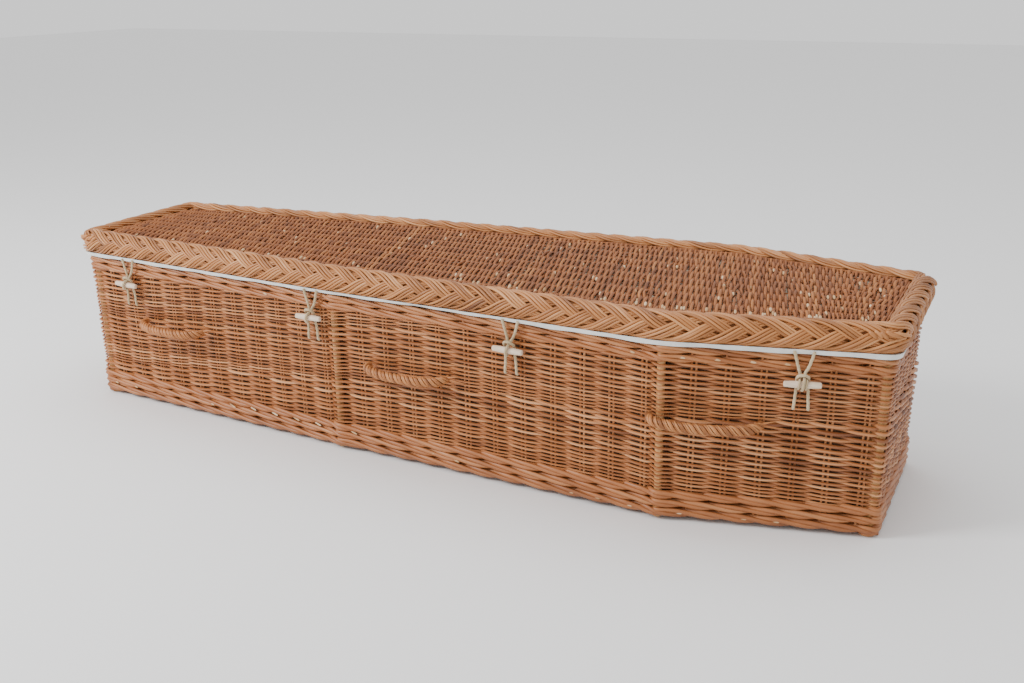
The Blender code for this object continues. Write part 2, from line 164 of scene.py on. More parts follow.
def make_rods(name, centres, radii, tones, sides=6, closed=False, upright=(0.0, 0.0, 1.0), ply=0):
    """Many round rods in one mesh: a circle of each station's radius, square to the rod, at its centre.

    The circle's first direction is the rod's own crossed with the upright. With a ply it has
    that many lobes, which turn along it.
    """
    rows, stations = centres.shape[:2]
    if closed:
        ahead = np.roll(centres, -1, axis=1) - np.roll(centres, 1, axis=1)
    else:
        ahead = np.gradient(centres, axis=1)
    ahead = unit(ahead)
    across = unit(np.cross(ahead, upright))
    over = np.cross(across, ahead)
    angle = 2 * np.pi * np.arange(sides) / sides
    step = np.linalg.norm(np.diff(centres, axis=1, append=centres[:, :1]), axis=-1)
    run = np.cumsum(step, axis=1) - step
    swell = np.ones((rows, stations, sides))
    if ply:
        swell += 0.13 * np.cos(ply * (angle - (run / CORD_LAY * 2 * np.pi / ply)[..., None]))
    ring = across[:, :, None] * np.cos(angle)[:, None] + over[:, :, None] * np.sin(angle)[:, None]
    radii = np.broadcast_to(radii, (rows, stations))
    verts = centres[:, :, None] + ring * (radii[:, :, None] * swell)[..., None]
    quads, uv, caps = ring_faces(rows, stations, sides, closed)
    length = np.concatenate([run, (run[:, -1] + step[:, -1])[:, None]], axis=1)
    which = np.repeat(np.arange(rows), len(quads) // rows)
    along = np.take_along_axis(length, uv[..., 1].reshape(rows, -1).astype(int), axis=1)
    tones = np.broadcast_to(np.asarray(tones, dtype=float).reshape(rows, -1), (rows, stations))
    uv = np.stack([uv[..., 0].ravel(), along.ravel() + np.repeat(which, 4) * 0.731], axis=-1)
    return make_piece(name, verts.reshape(-1, 3), quads, caps, np.repeat(tones.ravel(), sides), uv)


CORD_LAY = 0.011


def join_pieces(name, pieces):
    """Several meshes made one, with their attributes, in the order given."""
    with bpy.context.temp_override(
        active_object=pieces[0], selected_editable_objects=pieces, selected_objects=pieces
    ):
        bpy.ops.object.join()
    pieces[0].name = name
    pieces[0].data.name = name
    return pieces[0]


# The plan's outline.


def plan_corners(inset):
    """The plan's eight corners moved in by the inset, counter-clockwise from the foot's front.

    A corner moves along the sum of its sides' inward normals, over one plus their product.
    """
    foot, head = -LENGTH / 2, LENGTH / 2
    x = np.array((foot, foot + MIDDLE_FROM_FOOT, head - SHOULDER_FROM_HEAD, head))
    y = np.array((FOOT_WIDTH, MIDDLE_WIDTH, SHOULDER_WIDTH, HEAD_WIDTH)) / 2
    corners = np.stack([np.append(x, x[::-1]), np.append(-y, y[::-1])], axis=1)
    side = np.roll(corners, -1, axis=0) - corners
    inward = unit(np.stack([-side[:, 1], side[:, 0]], axis=1))
    before = np.roll(inward, 1, axis=0)
    share = inset / (1 + (inward * before).sum(axis=1))
    return corners + (inward + before) * share[:, None]


def rounded_path(inset, end_rounding):
    """A closed path round the plan: straight sides, and at each corner an arc of its own radius.

    Gives the distance along it at each point, their outward directions, and the corners' middles.
    """
    corners = plan_corners(inset)
    points, normals, marks = [], [], []
    for place in range(8):
        corner = corners[place]
        back = unit(corners[place - 1] - corner)
        on = unit(corners[(place + 1) % 8] - corner)
        half = math.acos(float(back @ on)) / 2
        radius = end_rounding if place in (0, 3, 4, 7) else BEND_ROUNDING - inset
        centre = corner + unit(back + on) * radius / math.sin(half)
        first = math.atan2(back[0], -back[1])
        angle = first + (math.pi - 2 * half) * np.linspace(0, 1, 9)
        normal = np.stack([np.cos(angle), np.sin(angle)], axis=1)
        marks.append(len(points) * 9 + 4)
        points.append(centre + radius * normal)
        normals.append(normal)
    points, normals = (np.vstack(part + [part[0][:1]]) for part in (points, normals))
    run = np.concatenate([[0.0], np.cumsum(np.linalg.norm(np.diff(points, axis=0), axis=1))])
    return {"run": run, "points": points, "normals": normals, "marks": run[marks], "total": run[-1]}


def place_on(path, distance, out, height):
    """Points at distances along a path, moved outwards by out, at their heights."""
    distance = np.mod(distance, path["total"])
    xy = np.stack([np.interp(distance, path["run"], path["points"][:, i]) for i in (0, 1)], axis=-1)
    normal = [np.interp(distance, path["run"], path["normals"][:, i]) for i in (0, 1)]
    normal = unit(np.stack(normal, axis=-1))
    xy = xy + normal * np.broadcast_to(out, distance.shape)[..., None]
    return np.concatenate([xy, np.broadcast_to(height, distance.shape)[..., None]], axis=-1)


def lean(height):
    """How far the wall stands in from its rim at a height, because the sides flare."""
    return WALL_FLARE * (1 - (height - FOOT_HEIGHT) / WALL_HEIGHT)


# The stakes and bays of the wall. A bay just before a post is a short one.
BAYS = (12, 12, 7, 7, 7, 12, 12, 6)
SHORT_BAY = 0.5
BAY_COUNT = sum(BAYS)
POST_BAYS = np.cumsum((0,) + BAYS)[:8]
BEND_BAYS = POST_BAYS[[1, 2, 5, 6]]
STAKE_HALF = 0.0024
STAKE_RADIUS = 0.0022
BEHIND_POST = -0.0118
OVER_POST = 0.0072
WALL_PATH = rounded_path(WALL_THICKNESS / 2, CORNER_ROUNDING - WALL_THICKNESS / 2)


def stake_distances():
    """The distance along the wall of each stake, with one more where the first comes round again."""
    rng = np.random.default_rng(11)
    marks = np.append(WALL_PATH["marks"], WALL_PATH["marks"][0] + WALL_PATH["total"])
    found = []
    for place, count in enumerate(BAYS):
        share = np.ones(count) + rng.normal(0, 0.035, count)
        share[-1] = SHORT_BAY if place in (0, 1, 2, 4, 5, 6) else 1.0
        steps = np.concatenate([[0.0], np.cumsum(share / share.sum())])
        found.append(marks[place] + (marks[place + 1] - marks[place]) * steps[:-1])
    return np.append(np.concatenate(found), marks[-1])


STAKES = stake_distances()


def at_bay(bay):
    """The distance along the wall at a place counted in bays, straight between neighbouring stakes."""
    turns = np.floor(bay / BAY_COUNT)
    inside = bay - turns * BAY_COUNT
    return np.interp(inside, np.arange(BAY_COUNT + 1), STAKES) + turns * WALL_PATH["total"]


def near_posts(bay, width):
    """One at a bend's post, falling to nothing over about the width, by a bell curve."""
    away = np.abs(bay[..., None] - BEND_BAYS)
    away = np.minimum(np.mod(away, BAY_COUNT), BAY_COUNT - np.mod(away, BAY_COUNT))
    return np.exp(-((away / width) ** 2)).sum(axis=-1)


def on_wall(bay, out, height):
    """Points in the wall: out from its middle surface, at a height, leaning with it."""
    return place_on(WALL_PATH, at_bay(bay), out - lean(height), height)


def smoothstep(value):
    """A smooth rise from 0 to 1: three squares less two cubes."""
    value = np.clip(value, 0, 1)
    return value * value * (3 - 2 * value)


# Materials.


def add_node(tree, kind, settings=(), **links):
    """Adds a node, sets its fields and sockets, and links sockets from other nodes or their outputs.

    A linked socket goes by its name, or by its number after an underscore.
    """
    node = tree.nodes.new("ShaderNode" + kind)
    for field, value in dict(settings).items():
        if isinstance(field, int) or field in node.inputs:
            node.inputs[field].default_value = value
        else:
            setattr(node, field, value)
    for socket, source in links.items():
        target = node.inputs[int(socket[1:])] if socket[1:].isdigit() else node.inputs[socket]
        tree.links.new(getattr(source, "outputs", [source])[0], target)
    return node


def new_material(name):
    """An empty material, its node tree and the outputs of its coordinates."""
    material = bpy.data.materials.new(name)
    material.use_nodes = True
    return material, material.node_tree, add_node(material.node_tree, "TexCoord").outputs


def add_noise(tree, place, scale, detail=2.0, roughness=0.5):
    """Noise at a place. Its scale is in waves a metre, or a unit of the place."""
    settings = {"Scale": scale, "Detail": detail, "Roughness": roughness}
    return add_node(tree, "TexNoise", settings, Vector=place)


def add_ramp(tree, factor, stops):
    """A ramp through hex colours at their places."""
    node = add_node(tree, "ValToRGB", _0=factor)
    elements = node.color_ramp.elements
    for place, _ in stops[1:-1]:
        elements.new(place)
    for element, (place, code) in zip(elements, stops):
        element.position, element.color = place, hex_colour(code)
    return node


def fill_shader(tree, values):
    """Gives the surface shader's sockets their plain values, or links them from nodes."""
    sockets = tree.nodes["Principled BSDF"].inputs
    for name, value in values.items():
        if isinstance(value, (int, float, tuple)):
            sockets[name].default_value = value
        else:
            tree.links.new(getattr(value, "outputs", [value])[0], sockets[name])


def willow(name, dark, middle, light, roughness=0.46, streak=0.34, own_uv=True):
    """Boiled and stripped willow: warm brown rods, each of its own tone, with fine lengthwise streaks.

    The factor of the colours is the rod's tone plus streaks a seventh of its round wide and 40 mm
    long, patches of about 90 mm, and darker specks. The streaks also make the bump.
    """
    material, tree, coordinate = new_material(name)
    solid = coordinate["Object"]
    if own_uv:
        place = add_node(tree, "Mapping", {3: (7.0, 25.0, 1.0)}, _0=coordinate["UV"])
        tone = add_node(tree, "Attribute", {"attribute_name": "tone"}).outputs["Fac"]
    else:
        place = add_node(tree, "Mapping", {3: (420.0, 420.0, 25.0)}, _0=solid)
        tone = add_noise(tree, solid, 30.0)
    streaks = add_noise(tree, place, 1.0, 4.0, 0.6)
    patches = add_noise(tree, solid, 11.0, 3.0)
    specks = add_noise(tree, solid, 260.0)
    added = add_node(tree, "Math", {"operation": "MULTIPLY_ADD", 1: streak, 2: -streak / 2}, _0=streaks)
    summed = add_node(tree, "Math", {"operation": "ADD"}, _0=added, _1=tone)
    patched = add_node(tree, "Math", {"operation": "MULTIPLY_ADD", 1: 0.5, 2: -0.25}, _0=patches)
    factor = add_node(tree, "Math", {"operation": "ADD"}, _0=summed, _1=patched)
    ramp = add_ramp(tree, factor, [(0.0, dark), (0.5, middle), (1.0, light)])
    share = add_node(tree, "MapRange", {1: 0.66, 2: 0.78, 3: 0.0, 4: 0.55}, _0=specks)
    mixed = add_node(tree, "Mix", {"data_type": "RGBA", 7: hex_colour(dark)}, _0=share, _6=ramp)
    gloss = add_node(tree, "MapRange", {3: roughness - 0.08, 4: roughness + 0.14}, _0=streaks)
    bump = add_node(tree, "Bump", {"Strength": 0.5, "Distance": 0.0004}, Height=streaks)
    looks = {"Base Color": mixed.outputs[2], "Roughness": gloss, "Normal": bump}
    fill_shader(tree, {**looks, "IOR": 1.5, "Specular IOR Level": 0.45})
    return material


def cotton(name, pale, shade, threads=0.0011, thickness=0.0002):
    """Unbleached cotton: soft, matt, with its threads as two crossed waves of their real spacing.

    A wave texture's bands repeat every 2 pi over 20 of its scale.
    """
    material, tree, coordinate = new_material(name)
    soft = add_noise(tree, coordinate["Object"], 35.0, 4.0)
    waves = []
    for way in "XZ":
        settings = {"Scale": 2 * math.pi / 20 / threads, "Distortion": 0.6, "bands_direction": way}
        waves.append(add_node(tree, "TexWave", settings, Vector=coordinate["Object"]).outputs["Fac"])
    crossed = add_node(tree, "Math", {"operation": "MAXIMUM"}, _0=waves[0], _1=waves[1])
    bump = add_node(tree, "Bump", {"Strength": 0.6, "Distance": thickness}, Height=crossed)
    looks = {"Base Color": add_ramp(tree, soft, [(0.3, shade), (0.7, pale)]), "Normal": bump}
    fill_shader(tree, {**looks, "Roughness": 0.95, "Sheen Weight": 0.25, "Specular IOR Level": 0.2})
    return material


def turned_wood(name, dark, light):
    """Pale sanded wood: long fine grain lines along the bar, barely glossy."""
    material, tree, coordinate = new_material(name)
    place = add_node(tree, "Mapping", {3: (6.0, 30.0, 1.0)}, _0=coordinate["UV"])
    grain = add_noise(tree, place, 1.0, 5.0)
    ramp = add_ramp(tree, grain, [(0.3, dark), (0.65, light)])
    bump = add_node(tree, "Bump", {"Strength": 0.3, "Distance": 0.0003}, Height=grain)
    fill_shader(tree, {"Base Color": ramp, "Normal": bump, "Roughness": 0.6})
    return material


WILLOW_BODY = willow("buff_willow_rods", "#5F3016", "#AC6B3C", "#D69D6D", roughness=0.42)
WILLOW_WALE = willow("buff_willow_thick_rods", "#5F3016", "#A5663A", "#CB9060", roughness=0.42)
WILLOW_PLAIT = willow("buff_willow_plait", "#683A1A", "#B37643", "#DAA470", roughness=0.42)
WILLOW_LID = willow("buff_willow_lid_weave", "#4A2410", "#965728", "#BD7D45", roughness=0.6)
WILLOW_HANDLE = willow("twisted_willow_handle", "#582E12", "#AE6E3C", "#D09764")
WILLOW_POST = willow("willow_post", "#8F6234", "#BC8A55", "#D0A670", own_uv=False)
WILLOW_CUT = willow("cut_willow_ends", "#9A7045", "#C39F75", "#DCC4A2", roughness=0.7)
COTTON_LINING = cotton("cotton_lining", "#E6E7E3", "#D3D5D2")
# Dark brown cloth for the lining's hidden side, seen through the gaps of the weave: painted shade.
COTTON_PAINTED_SHADE = cotton("cotton_back_painted_shade", "#86664C", "#664836")
COTTON_UNDER_LID = cotton("cotton_under_lid", "#DCD0B8", "#C4B496")
COTTON_CORD = cotton("cotton_cord", "#D0BC98", "#B7A17C", 0.0009, 0.0004)
TOGGLE_WOOD = turned_wood("sanded_toggle_wood", "#CDB096", "#EAD7C0")


def finish_piece(piece, material, replaced=()):
    """Gives a piece its material and slot, makes it ride on the body and stand for its CAD nodes."""
    if not piece.data.materials:
        piece.data.materials.append(material)
    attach(piece, "root")
    if replaced:
        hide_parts(*replaced)
    return piece


# The camera stands where the photograph was taken from.
CAMERA_PLACE = (1.174, -2.213, 1.014)
CAMERA_YAW = math.radians(25.8)
CAMERA_PITCH = math.radians(18.0)
CAMERA_ROLL = math.radians(-0.5)
CAMERA_LENS = 40.8


def aim_along(thing, place, ahead, roll=0.0):
    """Puts a camera or a light at a place, its view along ahead and its right side level, then rolled."""
    right = unit(np.cross(ahead, (0.0, 0.0, 1.0)))
    turned = np.eye(4)
    turned[:3] = np.stack([right, np.cross(right, ahead), -ahead, place], axis=1)
    thing.matrix_world = Matrix(turned.tolist()) @ Matrix.Rotation(roll, 4, "Z")
    bpy.context.scene.collection.objects.link(thing)


def make_camera():
    """The camera: its view turns left by the yaw, leans down by the pitch, then rolls."""
    data = bpy.data.cameras.new("camera")
    data.lens = CAMERA_LENS
    data.sensor_width = 36.0
    data.clip_end = 60.0
    camera = bpy.data.objects.new("camera", data)
    level = math.cos(CAMERA_PITCH)
    ahead = (-math.sin(CAMERA_YAW) * level, math.cos(CAMERA_YAW) * level, -math.sin(CAMERA_PITCH))
    aim_along(camera, CAMERA_PLACE, np.array(ahead), CAMERA_ROLL)
    bpy.context.scene.camera = camera


def wall_frame(x, height, side):
    """A point on the wall's outer face, with the directions along it, outwards and up it."""
    corners = plan_corners(lean(height))
    place = int(np.clip(np.searchsorted(corners[1:3, 0], x), 0, 2))
    along = unit(corners[place + 1] - corners[place])
    y = corners[place, 1] + (x - corners[place, 0]) * along[1] / along[0]
    point = np.array((x, y * side, height))
    outward = np.array((along[1], -along[0] * side, 0.0))
    upward = unit(np.array((0.0, 0.0, WALL_HEIGHT)) + outward * WALL_FLARE)
    return point, np.array((along[0], along[1] * side, 0.0)), outward, upward


def lid_cord_route():
    """The lid cord from under the border, once round the toggle and back: along, outwards and up."""
    near = CORD_TO_TOGGLE
    slant = near * 0.7071
    neck = -TOGGLE_STANDOFF + WALE_PROUD + CLOTH_THICKNESS + 2 * GAP + CORD_RADIUS
    top = TOGGLE_DROP + 0.0052
    return [
        (-0.0175, neck, top),
        (-0.0095, neck - 0.0006, 0.030),
        (-0.0048, neck, 0.014),
        (-0.0032, -near, 0.001),
        (-0.0024, -slant, -slant),
        (-0.0012, 0.0, -near),
        (0.0002, slant, -slant),
        (0.0014, near, 0.0),
        (0.0022, slant, slant),
        (0.0026, 0.0, near + 0.0004),
        (0.0030, -0.0068, 0.0128),
        (0.0044, neck + 0.0006, 0.020),
        (0.0098, neck - 0.0006, 0.031),
        (0.0175, neck, top),
    ]


def wall_loop_route():
    """The wall's loop: out of the weave, up behind the toggle, and over in front of the lid cord."""
    behind = -CORD_TO_TOGGLE
    face = -TOGGLE_STANDOFF + GAP
    arch = [
        (-0.0130, face + 0.0020, -0.0530),
        (-0.0128, face + 0.0052, -0.0475),
        (-0.0115, face + 0.0046, -0.0280),
        (-0.0102, behind, -0.0060),
        (-0.0103, behind + 0.0016, 0.0055),
        (-0.0098, -0.0046, 0.0118),
        (-0.0060, -0.0006, 0.0162),
    ]
    return arch + [(0.0, 0.0010, 0.0176)] + [(-a, o, u) for a, o, u in reversed(arch)]


def smooth_curve(route, fine=10):
    """Points on the smooth cubic through the route's own points, whose slope at each is its neighbours'."""
    route = np.asarray(route)
    padded = np.vstack([2 * route[0] - route[1], route, 2 * route[-1] - route[-2]])
    t = (np.arange(fine) / fine)[None, :, None]
    p0, p1, p2, p3 = (padded[i : len(padded) - 3 + i, None] for i in range(4))
    cubic = 2 * p1 + (p2 - p0) * t + (2 * p0 - 5 * p1 + 4 * p2 - p3) * t**2
    cubic = 0.5 * (cubic + (3 * p1 - p0 - 3 * p2 + p3) * t**3)
    return np.vstack([cubic.reshape(-1, 3), route[-1:]])


def make_cord(name, node, points, upright):
    """A cord of three plies through its points, standing for its CAD node."""
    radii = np.full((1, len(points)), CORD_RADIUS * CORD_SWELL)
    cord = make_rods(name, points[None], radii, [0.5], sides=12, upright=upright, ply=3)
    finish_piece(cord, COTTON_CORD, (node,))


def make_fastenings():
    """At each fastening the toggle, the lid cord and the wall's loop, and on the fourth two cord rings."""
    for side_name, side in SIDES:
        for number, x in enumerate(TOGGLE_PLACES, start=1):
            point, along, outward, upward = wall_frame(x, TOGGLE_HEIGHT, side)
            middle = point + outward * TOGGLE_STANDOFF
            axes = np.stack([along, outward, upward])
            label = f"{side_name}_{number}"
            held = [make_toggle(f"wooden_toggle_{label}", middle, along, number)]
            finish_piece(held[0], TOGGLE_WOOD, (f"toggle_{label}",))
            if number == 4:
                held.append(make_wraps(f"toggle_wrap_{label}", middle, axes))
                finish_piece(held[1], COTTON_CORD)
            tie = smooth_curve(middle + np.array(lid_cord_route()) @ axes)
            make_cord(f"lid_tie_{label}", f"lid_cord_{label}", tie, along)
            loop = smooth_curve(middle + np.array(wall_loop_route()) @ axes)
            make_cord(f"basket_loop_{label}", f"wall_loop_{label}", loop, outward)


def make_toggle(name, middle, along, number):
    """A turned bar: its radius falls to its ends by a power of 2.2, and closes over a short round."""
    share = np.linspace(-1, 1, 25)
    share = np.sign(share) * (1 - (1 - np.abs(share)) ** 1.7)
    taper = TOGGLE_RADIUS - (TOGGLE_RADIUS - TOGGLE_END_RADIUS) * np.abs(share) ** 2.2
    round_end = np.sqrt(np.clip(1 - np.clip((np.abs(share) - 0.955) / 0.045, 0, 1) ** 2, 0.06, 1))
    tilt = np.array((0.0, 0.0, (-1) ** number * 0.0005))
    centres = middle + (along + tilt / TOGGLE_LENGTH * 2) * (share * TOGGLE_LENGTH / 2)[:, None]
    return make_rods(name, centres[None], (taper * round_end)[None], [0.5], sides=16)


def make_wraps(name, middle, axes):
    """Two rings of cord round the toggle beside the lid cord, each a circle square to it."""
    angle = 2 * np.pi * np.arange(20) / 20
    radius = TOGGLE_RADIUS + CORD_RADIUS * 0.8
    rings = []
    for shift in (-0.0062, 0.0066):
        route = np.stack([shift + 0.0008 * np.sin(angle), radius * np.cos(angle), radius * np.sin(angle)], 1)
        rings.append(middle + route @ axes)
    radius = CORD_RADIUS * 0.92
    return make_rods(name, np.stack(rings), radius, [0.5, 0.5], sides=10, closed=True, upright=axes[0])


# The weave of the wall.
STEPS = 5


def rod_tones(rng, count, middle=0.5, spread=0.17):
    """A tone for each rod, mostly near the middle, now and then much darker or paler."""
    return np.clip(rng.normal(middle, spread, count), 0.17, 0.93)


# The lower boundary between two bands of randing climbs along the front and sinks round the back.
BOUNDARY_BAYS = (0.0, 3.0, 7.7, 11.5, 14.6, 18.4, 24.0, 29.0, 34.0, 39.0, 57.0, 69.0, 72.0)
BOUNDARY_HEIGHTS = (
    0.084, 0.099, 0.139, 0.161, 0.184, 0.197, 0.211, 0.224, 0.234, 0.232, 0.142, 0.094, 0.084
)
BAND_THICKNESS = 0.120
RANDING_LIMITS = (0.0570, 0.3245)


def band_boundary(bay):
    """The lower boundary's height at a place: straight between its marks, averaged over three bays."""
    parts = [
        np.interp(bay + shift, BOUNDARY_BAYS, BOUNDARY_HEIGHTS, period=BAY_COUNT)
        for shift in (-1.5, -0.75, 0.0, 0.75, 1.5)
    ]
    return sum(parts) / len(parts)


def band_shape(level, rows, number, row):
    """The height and the pitch of a band's rods at their rows.

    Level 0 lies under the lower boundary, 1 above it, and 2 above that. The height is the sum of
    the rows' pitches, which grow from 3.1 to 6.2 mm before the band is fitted to its thickness.
    """
    low, high = 0.0031, 0.0062
    full = (low + high) / 2 * rows
    climb = low * row + (high - low) * row**2 / (2 * rows)
    bottom = band_boundary(number - row) + BAND_THICKNESS * (level - 1)
    thickness = BAND_THICKNESS
    if level == 0:
        thickness = np.maximum(bottom + BAND_THICKNESS - RANDING_LIMITS[0], full)
        bottom = bottom + BAND_THICKNESS - thickness
    stretch = thickness / full
    return bottom + climb * stretch, (low + (high - low) * row / rows) * stretch


def make_randing(name, level, rows, seed):
    """A band of French randing: one rod starts at every stake and passes each next stake a row higher.

    A rod's row is its own number less the bay. Its way out of the wall is a cosine that changes
    sign at every stake, and its radius a share of the pitch. It starts and ends where it meets
    the waling. At a bend's post it passes wholly over or behind the post.
    """
    rng = np.random.default_rng(seed)
    number = np.arange(BAY_COUNT)[:, None]
    probe = np.linspace(0, rows, rows * 4 + 1)
    height, _ = band_shape(level, rows, number, probe[None])
    inside = (height > RANDING_LIMITS[0]) & (height < RANDING_LIMITS[1])
    first, last = probe[inside.argmax(axis=1)], probe[::-1][inside[:, ::-1].argmax(axis=1)]
    kept = (last - first > 1.5) & inside.any(axis=1)
    number, first, last = number[kept], first[kept, None], last[kept, None]
    count = len(number)
    row = first + (last - first) * np.linspace(0, 1, rows * STEPS + 1)[None]
    height, pitch = band_shape(level, rows, number, row)
    bay = number - row
    swing = at_bay(bay)
    wave = np.sin(swing * 17.0 + 2.0) * 0.6 + np.sin(swing * 41.0 + height * 60) * 0.4
    edge = smoothstep((row - first) / 3) * smoothstep((last - row) / 3)
    height = height + 0.0011 * wave * edge + rng.normal(0, 0.00028, (count, 1)) * edge
    radius = 0.535 * pitch * (1 + rng.normal(0, 0.07, (count, 1)))
    amplitude = STAKE_HALF + radius + rng.normal(0, 0.0003, (count, 1))
    beat = -np.tanh(1.2 * np.cos(np.pi * row)) / np.tanh(1.2)
    tip = smoothstep((row - first) / 0.5 + 0.2) * smoothstep((last - row) / 0.5 + 0.2)
    out = amplitude * beat * tip - 0.002 * (1 - tip)
    behind = near_posts(bay, 0.36)
    crossed = 0.5 * (1 + beat) * (OVER_POST + radius * 0.8) + 0.5 * (1 - beat) * BEHIND_POST
    out = out * (1 - behind) + crossed * behind
    radius = radius * (0.75 + 0.25 * smoothstep((row - first) / 1.5))
    centres = on_wall(bay, out, height)
    return make_rods(name, centres, radius, rod_tones(rng, count), sides=5)


def make_waling(name, heights, radius, rise, seed):
    """Rows of three-rod waling: each rod passes outside two stakes and inside one, and its turn repeats.

    With the turn's angle, the way out is a third, plus the cosine, less a third of the double
    angle's cosine, and the height falls by the sine.
    """
    rng = np.random.default_rng(seed)
    bay = np.arange(BAY_COUNT * 7)[None] / 7
    rods, radii = [], []
    for level, height in enumerate(heights):
        for rod in range(3):
            angle = 2 * np.pi * (bay / 3 + rod / 3 + level * 0.41)
            out = (STAKE_HALF + radius * 0.92) * (1 + 3 * np.cos(angle) - np.cos(2 * angle)) / 3
            covering = near_posts(bay, 0.34)
            out = out * (1 - covering) + (OVER_POST + radius * 0.6 + 0.3 * out) * covering
            wave = np.sin(at_bay(bay) * 2 * np.pi / WALL_PATH["total"] * 23 + level * 2.0 + rod)
            rods.append(on_wall(bay, out - 0.0002, height - rise * np.sin(angle) + 0.0006 * wave))
            radii.append(radius * (1 + rng.normal(0, 0.04)) * (1 + 0.05 * wave))
    tones = rod_tones(rng, len(rods), 0.48, 0.12)
    return make_rods(name, np.vstack(rods), np.vstack(radii), tones, closed=True)


def make_stakes(name):
    """A pair of thin upright rods at each place that has no post."""
    rng = np.random.default_rng(5)
    bays = np.setdiff1d(np.arange(BAY_COUNT), POST_BAYS)
    distance = STAKES[bays]
    distance = np.concatenate([distance - 0.0043, distance + 0.0043])
    distance = distance[:, None] + rng.normal(0, 0.0004, (len(distance), 1))
    height = np.linspace(FOOT_HEIGHT + 0.004, RIM - 0.002, 9)[None]
    sway = 0.0005 * np.sin(height * 40 + distance * 90)
    centres = place_on(WALL_PATH, distance + sway, sway - lean(height), height + 0 * distance)
    return make_rods(
        name, centres, STAKE_RADIUS, rod_tones(rng, len(distance), 0.62, 0.12), upright=(1.0, 0.0, 0.001)
    )


def make_cut_ends(name):
    """Pale cut ends of stakes in both walings, in the upper one mostly by a bell curve at the shoulder."""
    rng = np.random.default_rng(8)
    bay = np.setdiff1d(np.arange(BAY_COUNT), POST_BAYS) - 0.3
    chance = rng.uniform(size=(2, len(bay)))
    share = 0.12 + 0.8 * np.exp(-(((bay - 24) / 3) ** 2))
    bays = np.concatenate([bay[chance[0] < share], bay[chance[1] < 0.6]])
    is_upper = np.arange(len(bays)) < (chance[0] < share).sum()
    at = on_wall(bays + rng.normal(0, 0.03, len(bays)), 0.0, np.where(is_upper, UPPER_CUTS, 0.0))
    at[:, 2] = np.where(is_upper, UPPER_CUTS, np.interp(at[:, 0], *LOWER_CUTS))
    outward = place_on(WALL_PATH, at_bay(bays), 1.0, 0.0) - place_on(WALL_PATH, at_bay(bays), 0.0, 0.0)
    along = np.cross((0.0, 0.0, 1.0), outward)
    along[:, 2] = -0.06
    depth = np.array((0.0043, 0.0103, 0.0110))[:, None]
    slide = np.array((-0.020, -0.002, 0.0))[:, None]
    centres = at[:, None] + outward[:, None] * depth + along[:, None] * slide
    long = np.array((0.0034, 0.0038, 0.0028))
    tall = np.array((0.0019, 0.0022, 0.0016))
    angle = 2 * np.pi * np.arange(10) / 10
    ring = along[:, None, None] * (long[:, None] * np.cos(angle))[None, :, :, None]
    ring = ring + np.array((0.0, 0.0, 1.0)) * (tall[:, None] * np.sin(angle))[None, :, :, None]
    verts = centres[:, :, None] + ring
    quads, uv, caps = ring_faces(len(at), 3, 10, False)
    tones = np.repeat(np.clip(rng.normal(0.6, 0.2, len(at)), 0, 1), 30)
    return make_piece(name, verts.reshape(-1, 3), quads[:, ::-1], [cap[:, ::-1] for cap in caps], tones)


UPPER_CUTS = 0.3315
LOWER_CUTS = ((-0.6, -0.45, -0.2, 0.0, 0.25), (0.031, 0.045, 0.045, 0.040, 0.0175))
UPPER_WALE_ROWS = (0.3290, 0.3455)
LOWER_WALE_ROWS = (0.0172, 0.0352, 0.0535)


def make_foot_wraps(name):
    """A rod wound twice round the foot of each corner post."""
    angle = np.linspace(0, 2.2 * 2 * np.pi, 60)
    inset = 0.0225 + lean(FOOT_HEIGHT)
    corners = plan_corners(inset)[[0, 3, 4, 7]]
    radius = 0.0172
    height = 0.0034 + 0.0050 * angle / (2 * np.pi)
    rods = [
        np.stack([x + radius * np.cos(angle), y + radius * np.sin(angle), height], axis=1)
        for x, y in corners
    ]
    return make_rods(name, np.stack(rods), 0.0029, [0.3, 0.45, 0.4, 0.35])


def make_wall():
    """The whole wall: three bands of randing, two of waling, stakes, cut ends and foot wraps."""
    middle = make_randing("middle_randing", 1, 26, 21)
    finish_piece(middle, WILLOW_BODY, ("woven_sides",))
    for piece, material in (
        (make_randing("lower_randing", 0, 32, 22), WILLOW_BODY),
        (make_randing("upper_randing", 2, 26, 23), WILLOW_BODY),
        (make_waling("upper_waling", UPPER_WALE_ROWS, 0.0040, 0.0042, 31), WILLOW_WALE),
        (make_waling("lower_waling", LOWER_WALE_ROWS, 0.0046, 0.0044, 32), WILLOW_WALE),
        (make_stakes("paired_stakes"), WILLOW_BODY),
        (make_cut_ends("cut_stake_ends"), WILLOW_CUT),
        (make_foot_wraps("corner_foot_wraps"), WILLOW_WALE),
    ):
        finish_piece(piece, material)
    for node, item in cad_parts.items():
        if "_post_" in node:
            item.material_slots[0].material = WILLOW_POST


# The plaited border of the lid.
PLAIT_ROUNDING = 0.013
PLAIT_PATH = rounded_path(BORDER_INSET, PLAIT_ROUNDING)
PLAIT_STRANDS = 7
PLAIT_STROKES = 80
PLAIT_REACH = 0.0425
PLAIT_CORNER = 0.02
PLAIT_DEPTH = 0.0032
PLAIT_ROD = 0.0028
PLAIT_RODS = 4
PLAIT_SURFACE = 0.0250
PLAIT_MIDDLE = math.radians(18)


